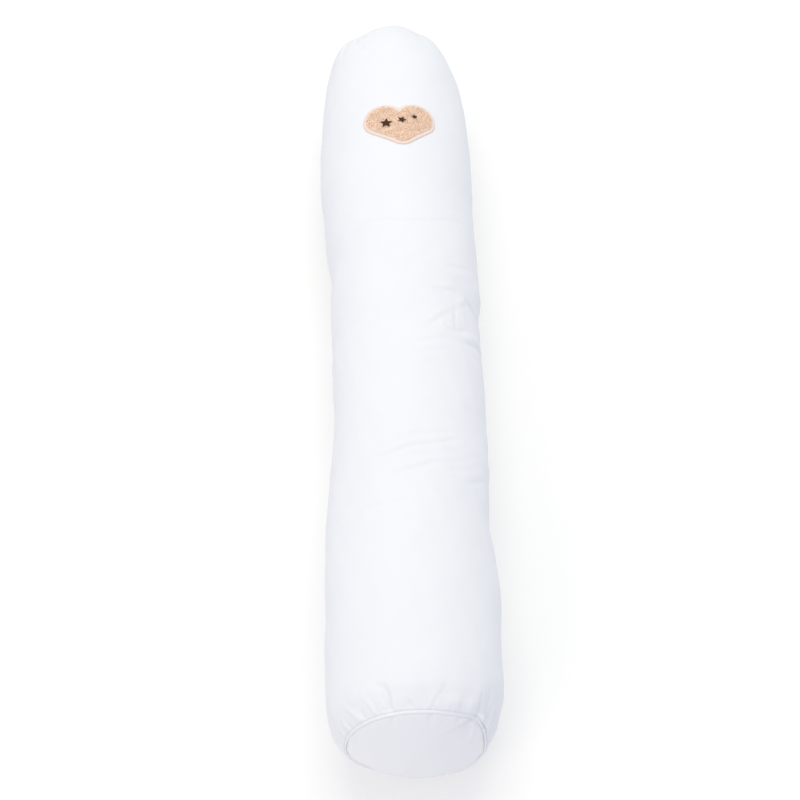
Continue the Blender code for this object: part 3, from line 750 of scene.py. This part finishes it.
def row_places():
    """The rows' places, close together where the cloth is worked."""
    y = np.linspace(-RING_Y, RING_Y, 6001)
    rate = 1000.0 / smooth(ROW_STEPS, 1, y * 1000)
    count = np.concatenate([[0], np.cumsum(0.5 * (rate[1:] + rate[:-1]) * np.diff(y))])
    rows = int(round(count[-1]))
    return np.interp(np.arange(rows + 1) * count[-1] / rows, count, y)


stations = row_places()
plain = tube(stations[:, None], ANGLE[None])
du = np.roll(plain, -1, 1) - np.roll(plain, 1, 1)
dv = np.gradient(plain, axis=0)
normal = np.cross(dv, du)
normal /= np.linalg.norm(normal, axis=-1)[..., None]
outward = plain - np.stack([middle_x(stations), stations, middle_z(stations)], -1)[:, None]
normal *= np.sign((normal * outward).sum(-1))[..., None]

from_ring = RING_Y - np.abs(stations)
shape = plain.copy()
# how much of the simulated gathers is kept: over the top, and underneath
GATHER_TOP = {-1: 0.36, 1: 0.30}
GATHER_UNDER = {-1: 0.75, 1: 0.60}
GATHER_REACH = {-1: 0.027, 1: 0.022}
for end, caught in ((-1, CAUGHT_NEAR), (1, CAUGHT_FAR)):
    dist, off = gathered(end, caught)
    mine = np.where((stations < 0) if end < 0 else (stations > 0))[0]
    mine = mine[from_ring[mine] < dist[-1]]
    fade = np.exp(-(from_ring[mine] / GATHER_REACH[end]) ** 1.6) * (1 - 0.7 * np.exp(-(from_ring[mine] / 0.003) ** 2))
    share = GATHER_TOP[end] + (GATHER_UNDER[end] - GATHER_TOP[end]) * np.clip(0.3 - np.cos(ANGLE), 0, 1)
    if end < 0:                                     # the full lobe beside the pleat is smoother
        share = share * (1 - 0.65 * np.exp(-((wrap(np.degrees(ANGLE)) - 38) / 14) ** 2))
    shape[mine] += resample(dist, off, from_ring[mine]) * fade[:, None, None] * share[None, :, None]

lift = fold_field(plain, normal) * (1 - 0.45 * np.exp(-(from_ring / 0.0022) ** 2))[:, None]
lift = lift + press_field(stations[:, None], ANGLE[None])
SWELLS = ((0.16, 0.0007, 5), (0.07, 0.00035, 6), (0.034, 0.00017, 8), (0.023, 0.00008, 10))
arc_u = ANGLE[None] * 0.0885
swell = waves(stations[:, None] * 1.0, arc_u, SWELLS, 11)
swell -= swell.mean()
seam_fade = np.clip(from_ring / 0.02, 0, 1)[:, None]
# the swell has to close around the tube: mix with its own copy from the other side
copy = waves(stations[:, None], arc_u - 2 * np.pi * 0.0885,
             SWELLS, 11)
mix = (ANGLE / (2 * np.pi))[None]
swell = swell * (1 - mix) + copy * mix
lift = lift + swell * seam_fade
# the topstitch draws the cloth down beside the stitch line
deg = wrap(np.degrees(ANGLE))
strong = 1 + 2.7 * np.exp(-((deg - 77) / 9) ** 2) + 1.6 * np.exp(-((deg + 92) / 16) ** 2) \
    - 0.9 * np.exp(-((deg - 62) / 5) ** 2)
drawn = np.where((stations < 0)[:, None], 0.00045 * strong[None], 0.0007)
lift = lift - drawn * np.exp(-(from_ring / 0.0009) ** 2)[:, None]
lobe = np.exp(-((deg - 64) / 5.5) ** 2)[None] * np.where(stations < 0, 1, 0)[:, None]
lift = lift + 0.0021 * lobe * np.exp(-((from_ring - 0.0030) / 0.0022) ** 2)[:, None]
shape += normal * lift[..., None]
shape[..., 1] -= 0.0030 * lobe * np.exp(-((from_ring - 0.0022) / 0.0019) ** 2)[:, None]

# the band between the stitch line and the seam, then the turned edge inside the seam
BAND_ROWS = np.linspace(0, 1, 9)[1:]


def band(end, shaped_ring):
    """Rows from the stitch line over the puffed band and down into the seam."""
    rows = []
    base = mouth(end, ANGLE, 1.0, 0.0)
    carry = shaped_ring - base
    puffs = waves(ANGLE[None] * RING_RADIUS * 1.0, np.zeros((1, 1)), ((0.019, 0.00010, 5),), 5 + end)[0]
    wide, turn = band_width(end) / RING_RADIUS, band_turn(end)
    for f in BAND_ROWS:
        p = mouth(end, ANGLE, 1.0 - wide * f, turn * f**1.3)
        rise = 0.0007 * math.sin(math.pi * min(1.0, f * 1.02)) ** 0.8 - 0.0004 * (1 - f) ** 4
        side = np.stack([np.sin(ANGLE) * 0.72, 0 * ANGLE + end * 0.69, np.cos(ANGLE) * 0.72], -1)
        rows.append(p + carry * (1 - f) ** 2 + side * (rise + puffs * math.sin(math.pi * f))[:, None])
    for f, down in ((1.06, 0.0009), (1.10, 0.0022), (1.12, 0.0038)):
        rows.append(mouth(end, ANGLE, 1.0 - wide * f, turn - down))
    return rows


near_rows = band(-1, shape[0])
far_rows = band(1, shape[-1])
INNER = (0.93, 0.84, 0.72, 0.56, 0.38, 0.18)


def under_panel(end, share):
    """The filled end just under its panel."""
    return mouth(end, ANGLE, (1.0 - band_width(end) / RING_RADIUS) * share, dome(end, share) - 0.0046)


rings = ([under_panel(-1, f) for f in reversed(INNER)] + near_rows[::-1] + list(shape)
         + far_rows + [under_panel(1, f) for f in INNER])
rings = settle(np.array(rings))
first = under_panel(-1, 0.0)[0]
last = under_panel(1, 0.0)[0]
# cloth lengths for the weave
run = np.concatenate([[0], np.cumsum(np.linalg.norm(np.diff(rings.mean(1), axis=0), axis=-1))])
us = np.append(ANGLE, [2 * np.pi, 2 * np.pi]) * 0.0885
FINE_NEAR, FINE_FAR = 0.053, 0.032
worked = (stations < -RING_Y + FINE_NEAR) | (stations > RING_Y - FINE_FAR)
coarse = [True] * len(INNER) + [False] * len(near_rows) + list(~worked) + [False] * len(far_rows) + [True] * len(INNER)
pillow = add("pillow_cloth", tube_mesh("pillow_cloth", rings, coarse, first, last, us, run), WHITE,
             "body")


# -------------------------------------------------------------- end panels
# Creases that run in from the seam: angle, how far in (share of the radius), depth in mm, half
# width in degrees, and how far they lean on the way.
PANEL_CREASES = {
    -1: ((-19.5, 0.22, 1.3, 2.2, -4), (-8, 0.16, 0.5, 2.0, 0), (11.5, 0.28, 1.2, 2.4, 3), (24, 0.15, 0.5, 2.4, 0),
         (37.6, 0.22, 1.2, 2.4, 6), (54.5, 0.40, 3.2, 2.6, -26), (57, 0.36, -1.3, 3.6, 26), (86, 0.22, 1.2, 8.0, 4),
         (-45, 0.16, 0.5, 3.0, 0), (-62, 0.20, 0.9, 2.4, -4), (-70, 0.20, 0.8, 2.6, -4), (-84, 0.18, 0.7, 7.0, 4),
         (112, 0.26, 0.8, 4.0, -5), (-128, 0.22, 0.6, 4.0, 2), (140, 0.22, 0.6, 4.5, -2),
         (-158, 0.2, 0.5, 4.0, 0), (168, 0.2, 0.5, 4.0, 0)),
    1: ((-31, 0.28, 1.3, 3.0, 2), (2, 0.18, 0.6, 3.0, 0), (30, 0.26, 1.2, 3.0, -2), (60, 0.24, 0.8, 4.0, -3),
        (-58, 0.18, 0.6, 3.5, 2), (-92, 0.28, 1.0, 4.0, 5), (95, 0.24, 0.8, 4.0, -4), (-128, 0.22, 0.6, 4.0, 2),
        (131, 0.22, 0.6, 4.5, -2), (-165, 0.2, 0.5, 4.0, 0), (163, 0.2, 0.5, 4.0, 0)),
}


def panel(end, name, stands_for):
    edge = 1.0 - band_width(end) / RING_RADIUS
    # from the rim turned into the seam, over its rounded shoulder, to the middle
    shares = [1.008, 1.004, 0.997, 0.987, 0.974] + list(np.linspace(0.957, 0.05, 50))
    rows = []
    deg = np.degrees(ANGLE)
    for f in shares:
        q = min(f, 1.0)
        dip = np.zeros(AROUND)
        for place, reach, depth, width, lean in PANEL_CREASES[end]:
            inward = (1 - q) / reach
            off = wrap(deg - place - lean * inward) / (width * (1 + 0.5 * inward))
            along = np.clip(1 - inward, 0, 1) ** 1.5 * min(1, (1.008 - f) / 0.022)
            dip += depth * along * (np.exp(-off**2) - 0.4 * np.exp(-((np.abs(off) - 1.8) / 0.8) ** 2))
        x, z = f * np.sin(ANGLE) * 0.07, f * np.cos(ANGLE) * 0.07
        pool = waves(x, z, ((0.075, 0.0006, 4), (0.035, 0.00025, 5)), 31 + end)
        deep = 1 + (0.25 * np.exp(-((wrap(deg) + 96) / 26) ** 2) + 0.5 * np.exp(-((wrap(deg) - 86) / 20) ** 2)
                    if end < 0 else 0)
        shoulder = 0.0021 * deep * np.clip(1 - (1.008 - f) / (0.034 * deep), 0, 1) ** 2.2
        rows.append(mouth(end, ANGLE, edge * f,
                          dome(end, q) + 0.0003 - shoulder - 0.001 * dip + pool * (1 - q * q)))
    outer = np.array(rows)
    inner = outer[::-1].copy()
    inner[..., 1] -= end * PANEL_CLOTH
    verts = np.concatenate([inner, outer])
    tip = outer[-1].mean(0) + np.array([0, end * 0.00002, 0])
    tip_in = inner[0].mean(0) + np.array([0, end * 0.00002, 0])
    count = len(verts)
    idx = np.arange(count * AROUND).reshape(count, AROUND)
    faces = np.concatenate([np.stack([idx[i], np.roll(idx[i], -1), np.roll(idx[i + 1], -1), idx[i + 1]], -1)
                            for i in range(count - 1)]).tolist()
    c0, c1 = count * AROUND, count * AROUND + 1
    faces += [[int(idx[0][(n + 1) % AROUND]), int(idx[0][n]), c0] for n in range(AROUND)]
    faces += [[int(idx[-1][n]), int(idx[-1][(n + 1) % AROUND]), c1] for n in range(AROUND)]
    co = np.concatenate([verts.reshape(-1, 3), [tip_in], [tip]])
    thing = add(name, closed_mesh(name, co, faces, (0, 2)), LIT_PANEL_CLOTH, stands_for)
    return thing


near_panel = panel(-1, "end_cloth_near", "end_panel_near")
far_panel = panel(1, "end_cloth_far", "end_panel_far")


# ------------------------------------------------------- topstitch around each end
def topstitch(end, name, count=146):
    """Short stitches that lie in the drawn-down line beside the band."""
    ring_rows = rings[len(INNER) + len(near_rows):][:3] if end < 0 else \
        rings[:len(rings) - len(INNER) - len(far_rows)][::-1][:3]
    line = 0.35 * ring_rows[0] + 0.65 * ring_rows[1]
    closed = np.concatenate([line, line[:1]])
    length = np.concatenate([[0], np.cumsum(np.linalg.norm(np.diff(closed, axis=0), axis=1))])
    centre = line.mean(0)
    rng = np.random.default_rng(40 + end)
    runs = []
    pitch = length[-1] / count
    for k in range(count):
        s0 = (k + 0.5) * pitch + rng.normal(0, 0.00005)
        half_len = 0.36 * pitch * rng.uniform(0.95, 1.05)
        s = s0 + half_len * np.linspace(-1, 1, 7)
        pts = np.stack([np.interp(s % length[-1], length, closed[:, c]) for c in range(3)], -1)
        up = pts - centre
        up[:, 1] *= 0.2
        up /= np.linalg.norm(up, axis=1)[:, None]
        arch = np.array([-0.00012, 0.00006, 0.00015, 0.00018, 0.00015, 0.00006, -0.00012])
        radii = np.array([0.00011, 0.00019, 0.00023, 0.00024, 0.00023, 0.00019, 0.00011])
        runs.append((pts + up * arch[:, None], radii, up))
    return add(name, tubes(name, runs), STITCH_THREAD_PAINTED_SHADE)


topstitch(-1, "topstitch_near")
topstitch(1, "topstitch_far")

# ----------------------------------------------------------------- the patch
PATCH_Y, PATCH_X, PATCH_TURN = 0.2905, 0.0058, math.radians(4.0)
LOBE_RADIUS, LOBE_X, LOBE_Y = 0.0205, 0.0185, 0.0085
TIP_RADIUS, TIP_Y = 0.0090, -0.0205
BORDER = 0.0045
BASE_CLOTH, PILE_CLOTH, PATCH_LIFT = 0.0012, 0.0020, 0.0004


def heart_reach(direction, grow):
    ux, uy = math.sin(direction), math.cos(direction)
    far = 0.0
    for cx, cy, radius in ((LOBE_X, LOBE_Y, LOBE_RADIUS), (-LOBE_X, LOBE_Y, LOBE_RADIUS),
                           (0.0, TIP_Y, TIP_RADIUS)):
        radius += grow
        along = cx * ux + cy * uy
        aside = cx * cx + cy * cy - along * along
        if aside < radius * radius:
            far = max(far, along + math.sqrt(radius * radius - aside))
    for side in (1.0, -1.0):
        dx, dy = LOBE_X, LOBE_Y - TIP_Y
        length = math.hypot(dx, dy)
        turn = math.atan2(dx, dy) + math.asin((LOBE_RADIUS - TIP_RADIUS) / length)
        nx, ny = side * math.cos(turn), -math.sin(turn)
        start = (nx * (TIP_RADIUS + grow), TIP_Y + ny * (TIP_RADIUS + grow))
        stop = (side * LOBE_X + nx * (LOBE_RADIUS + grow), LOBE_Y + ny * (LOBE_RADIUS + grow))
        across = ux * (stop[1] - start[1]) - uy * (stop[0] - start[0])
        if abs(across) > 1e-9:
            reach = (start[0] * (stop[1] - start[1]) - start[1] * (stop[0] - start[0])) / across
            share = (start[0] * uy - start[1] * ux) / across
            if reach > 0.0 and 0.0 <= share <= 1.0:
                far = max(far, reach)
    return far


surface_rows = rings[len(INNER) + len(near_rows):len(rings) - len(INNER) - len(far_rows)]


def on_pillow(y, angle, up):
    """A point above the finished cloth, read from the pillow's own grid."""
    y, angle, up = (np.asarray(v, float) for v in (y, angle, up))
    r = np.interp(y, stations, np.arange(len(stations)))
    c = column_of(angle) % AROUND
    i, j = np.clip(np.floor(r).astype(int), 0, len(stations) - 2), np.floor(c).astype(int) % AROUND
    fr, fc = (r - i)[..., None], (c - np.floor(c))[..., None]
    k = (j + 1) % AROUND
    g, n = surface_rows, normal
    p = (g[i, j] * (1 - fr) * (1 - fc) + g[i, k] * (1 - fr) * fc + g[i + 1, j] * fr * (1 - fc) + g[i + 1, k] * fr * fc)
    m = (n[i, j] * (1 - fr) * (1 - fc) + n[i, k] * (1 - fr) * fc + n[i + 1, j] * fr * (1 - fc) + n[i + 1, k] * fr * fc)
    m /= np.linalg.norm(m, axis=-1)[..., None]
    return p + m * up[..., None], m


def on_crown(u, v, up):
    c, s = math.cos(PATCH_TURN), math.sin(PATCH_TURN)
    across, along = PATCH_X + c * u - s * v, PATCH_Y + s * u + c * v
    a = half_width(along)
    return on_pillow(along, across / (0.5 * a * (1 + HEIGHT_TO_WIDTH)), up)


def heart_sheet(name, grow, under, thick, material, stands_for, edge_round, bumpy, around=160, rows=26):
    direction = 2 * np.pi * np.arange(around) / around
    reach = np.array([heart_reach(d, grow) for d in direction])
    for _ in range(3):
        reach = 0.25 * np.roll(reach, 1) + 0.5 * reach + 0.25 * np.roll(reach, -1)
    shares = np.concatenate([np.linspace(0.03, 0.86, rows - 8), np.linspace(0.885, 1.0, 8)])
    top, low, uv = [], [], []
    for f in shares:
        u, v = f * reach * np.sin(direction), f * reach * np.cos(direction)
        inward = (1 - f) * reach
        roll = edge_round * np.clip(1 - inward / (1.6 * edge_round + 1e-9), 0, 1) ** 2
        uneven = waves(u, v, ((0.011, 0.6 * bumpy, 5), (0.004, 0.5 * bumpy, 8)), 77) if bumpy else 0 * u
        top.append(on_crown(u, v, under + thick - roll + uneven)[0])
        low.append(on_crown(u, v, under + 0 * u)[0])
    centre_top = on_crown(np.array(0.0), np.array(0.0), np.array(under + thick))[0]
    centre_low = on_crown(np.array(0.0), np.array(0.0), np.array(under))[0]
    verts = np.array(low + top[::-1])
    co = np.concatenate([verts.reshape(-1, 3), [centre_low], [centre_top]])
    n = len(verts)
    idx = np.arange(n * around).reshape(n, around)
    faces = []
    for i in range(n - 1):
        a, b = idx[i], idx[i + 1]
        faces.append(np.stack([a, np.roll(a, -1), np.roll(b, -1), b], -1))
    faces = np.concatenate(faces).tolist()
    c0, c1 = n * around, n * around + 1
    faces += [[int(idx[0][(q + 1) % around]), int(idx[0][q]), c0] for q in range(around)]
    faces += [[int(idx[-1][q]), int(idx[-1][(q + 1) % around]), c1] for q in range(around)]
    thing = add(name, closed_mesh(name, co, faces, (0, 1)), material, stands_for)
    return thing, direction, reach


backing, bd, breach = heart_sheet("patch_backing", BORDER, 0.0002, BASE_CLOTH, CREAM,
                                  "patch_base", 0.0007, 0.0)
terry, td, treach = heart_sheet("patch_terry", 0.0, 0.0003 + BASE_CLOTH, PILE_CLOTH * 0.6, TERRY,
                                "patch_pile", 0.0008, 0.00025)


def terry_loops():
    """Short uneven loops of yarn that stand all over the terry face."""
    rng = np.random.default_rng(3)
    step = 0.00128
    runs = []
    reach_at = lambda d: np.interp(d % (2 * np.pi), np.append(td, 2 * np.pi), np.append(treach, treach[0]))
    for row, v0 in enumerate(np.arange(-0.034, 0.034, step)):
        for u0 in np.arange(-0.045, 0.045, step) + (row % 2) * step / 2:
            u, v = u0 + rng.normal(0, 0.00028), v0 + rng.normal(0, 0.00028)
            if math.hypot(u, v) > reach_at(math.atan2(u, v)) - 0.0004:
                continue
            turn = rng.uniform(0, math.pi)
            wide, tall = rng.uniform(0.0005, 0.0009), rng.uniform(0.0005, 0.0011)
            lean = rng.normal(0, 0.00030, 2)
            t = np.linspace(-1, 1, 6)
            arch = 1 - t**2
            pu = u + math.sin(turn) * wide * t + lean[0] * arch
            pv = v + math.cos(turn) * wide * t + lean[1] * arch
            runs.append((pu, pv, arch * tall - 0.0001, rng.uniform(0.00034, 0.00046)))
    made = []
    flat_u = np.concatenate([r[0] for r in runs])
    flat_v = np.concatenate([r[1] for r in runs])
    flat_h = np.concatenate([r[2] for r in runs])
    p, m = on_crown(flat_u, flat_v, flat_h + 0.0003 + BASE_CLOTH + PILE_CLOTH * 0.55)
    for k, r in enumerate(runs):
        s = slice(6 * k, 6 * k + 6)
        side = np.cross(np.gradient(p[s], axis=0), m[s])
        made.append((p[s], np.full(6, r[3]) * np.array([0.8, 1, 1.05, 1.05, 1, 0.8]), m[s] + 0 * side))
    return made


loops = terry_loops()
add("terry_loops", tubes("terry_loops", loops, sides=5), TERRY)


def stars():
    """Three small filled stars in a slanting row, laid in parallel brown stitches."""
    made = []
    rng = np.random.default_rng(9)
    for cu, cv, size, turn in ((-0.0165, -0.0005, 0.0075, 0.10), (0.0015, 0.0035, 0.0055, 0.45),
                               (0.0165, 0.0085, 0.0040, -0.15)):
        k = np.arange(10)
        rad = np.where(k % 2 == 0, size, size * 0.45)
        poly = np.stack([rad * np.sin(k * math.pi / 5 + turn), rad * np.cos(k * math.pi / 5 + turn)], -1)
        pitch = 0.00042
        for h in np.arange(-size + pitch, size, pitch):
            cuts = []
            for a in range(10):
                p, q = poly[a], poly[(a + 1) % 10]
                if (p[1] - h) * (q[1] - h) < 0:
                    cuts.append(p[0] + (h - p[1]) / (q[1] - p[1]) * (q[0] - p[0]))
            cuts.sort()
            for a, b in zip(cuts[::2], cuts[1::2]):
                if b - a < 0.0005:
                    continue
                t = np.linspace(0, 1, 6)
                u = cu + a + (b - a) * t
                v = cv + h + 0 * t + rng.normal(0, 0.00003)
                arch = 0.0008 * np.sin(math.pi * np.clip(t, 0.06, 0.94)) ** 0.5
                p, m = on_crown(u, v, 0.0003 + BASE_CLOTH + PILE_CLOTH + 0.0004 + arch)
                made.append((p, np.array([0.6, 1, 1, 1, 1, 0.6]) * 0.00027, m))
    return made


add("patch_stars", tubes("patch_stars", stars()), BROWN_THREAD)


def border_stitches(count=118):
    closed_d = np.append(bd, 2 * np.pi)
    reach = np.append(breach, breach[0]) - 0.0011
    u, v = reach * np.sin(closed_d), reach * np.cos(closed_d)
    length = np.concatenate([[0], np.cumsum(np.hypot(np.diff(u), np.diff(v)))])
    pitch = length[-1] / count
    made = []
    for k in range(count):
        s = (k + 0.5) * pitch + 0.36 * pitch * np.linspace(-1, 1, 5)
        pu, pv = np.interp(s % length[-1], length, u), np.interp(s % length[-1], length, v)
        arch = np.array([-0.00010, 0.00004, 0.00010, 0.00004, -0.00010])
        p, m = on_crown(pu, pv, 0.0002 + BASE_CLOTH + arch)
        made.append((p, np.array([0.5, 0.9, 1, 0.9, 0.5]) * 0.00019, m))
    return made


add("border_stitches", tubes("border_stitches", border_stitches()), CREAM_THREAD)

# ------------------------------------------------------------ floor and light
floor_mesh = bpy.data.meshes.new("studio_floor")
floor_mesh.from_pydata([(-12, -12, -0.0006), (12, -12, -0.0006), (12, 12, -0.0006), (-12, 12, -0.0006)],
                       [], [(0, 1, 2, 3)])
floor = bpy.data.objects.new("studio_floor", floor_mesh)
bpy.context.scene.collection.objects.link(floor)
pale = bpy.data.materials.new("pale_floor")
pale.use_nodes = True
pale.node_tree.nodes["Principled BSDF"].inputs["Base Color"].default_value = (0.60, 0.60, 0.60, 1)
pale.node_tree.nodes["Principled BSDF"].inputs["Emission Color"].default_value = (1, 0.985, 0.962, 1)
pale.node_tree.nodes["Principled BSDF"].inputs["Emission Strength"].default_value = 0.342
pale.node_tree.nodes["Principled BSDF"].inputs["Roughness"].default_value = 0.9
pale.node_tree.nodes["Principled BSDF"].inputs["Specular IOR Level"].default_value = 0.1
floor_mesh.materials.append(pale)

world = bpy.data.worlds.new("studio")
bpy.context.scene.world = world
world.use_nodes = True
world.node_tree.nodes["Background"].inputs["Color"].default_value = (0.933, 0.985, 1.089, 1)
world.node_tree.nodes["Background"].inputs["Strength"].default_value = 0.772


def softbox(name, place, aim, size, power, colour=(1, 1, 1)):
    data = bpy.data.lights.new(name, "AREA")
    data.shape = "RECTANGLE"
    data.size, data.size_y = size
    data.energy = power
    data.color = colour
    lamp = bpy.data.objects.new(name, data)
    bpy.context.scene.collection.objects.link(lamp)
    lamp.location = place
    lamp.rotation_mode = "QUATERNION"
    lamp.rotation_quaternion = (Vector(aim) - Vector(place)).to_track_quat("-Z", "Y")
    return lamp


softbox("key_softbox", (0.0, 0.90, 2.85), (0, -0.1, 0.08), (2.1, 2.1), 35.4, (1.048, 0.995, 0.812))
softbox("front_softbox", (-1.5, -2.2, 2.00), (0, -0.1, 0.08), (1.5, 1.3), 14.7, (1.17, 0.998, 0.887))

# ----------------------------------------------------------------- the camera
ELEVATION, AZIMUTH = math.radians(52.8735), math.radians(2.1255)
TARGET = Vector((-0.0053, -0.0525, 0.083))
REACH = 2.2722
ahead = Vector((math.sin(AZIMUTH), math.cos(AZIMUTH), 0.0))
right = Vector((math.cos(AZIMUTH), -math.sin(AZIMUTH), 0.0))
look = ahead * math.cos(ELEVATION) - Vector((0, 0, 1)) * math.sin(ELEVATION)
up = ahead * math.sin(ELEVATION) + Vector((0, 0, 1)) * math.cos(ELEVATION)
lens = bpy.data.cameras.new("camera")
lens.sensor_width = 36.0
lens.lens = 36.0 * 2030.0 / 800.0
camera = bpy.data.objects.new("camera", lens)
bpy.context.scene.collection.objects.link(camera)
place = TARGET - look * REACH
camera.matrix_world = Matrix(((right.x, up.x, -look.x, place.x), (right.y, up.y, -look.y, place.y),
                              (right.z, up.z, -look.z, place.z), (0, 0, 0, 1)))
bpy.context.scene.camera = camera
bpy.context.scene.view_settings.view_transform = "Standard"
bpy.context.scene.view_settings.look = "None"
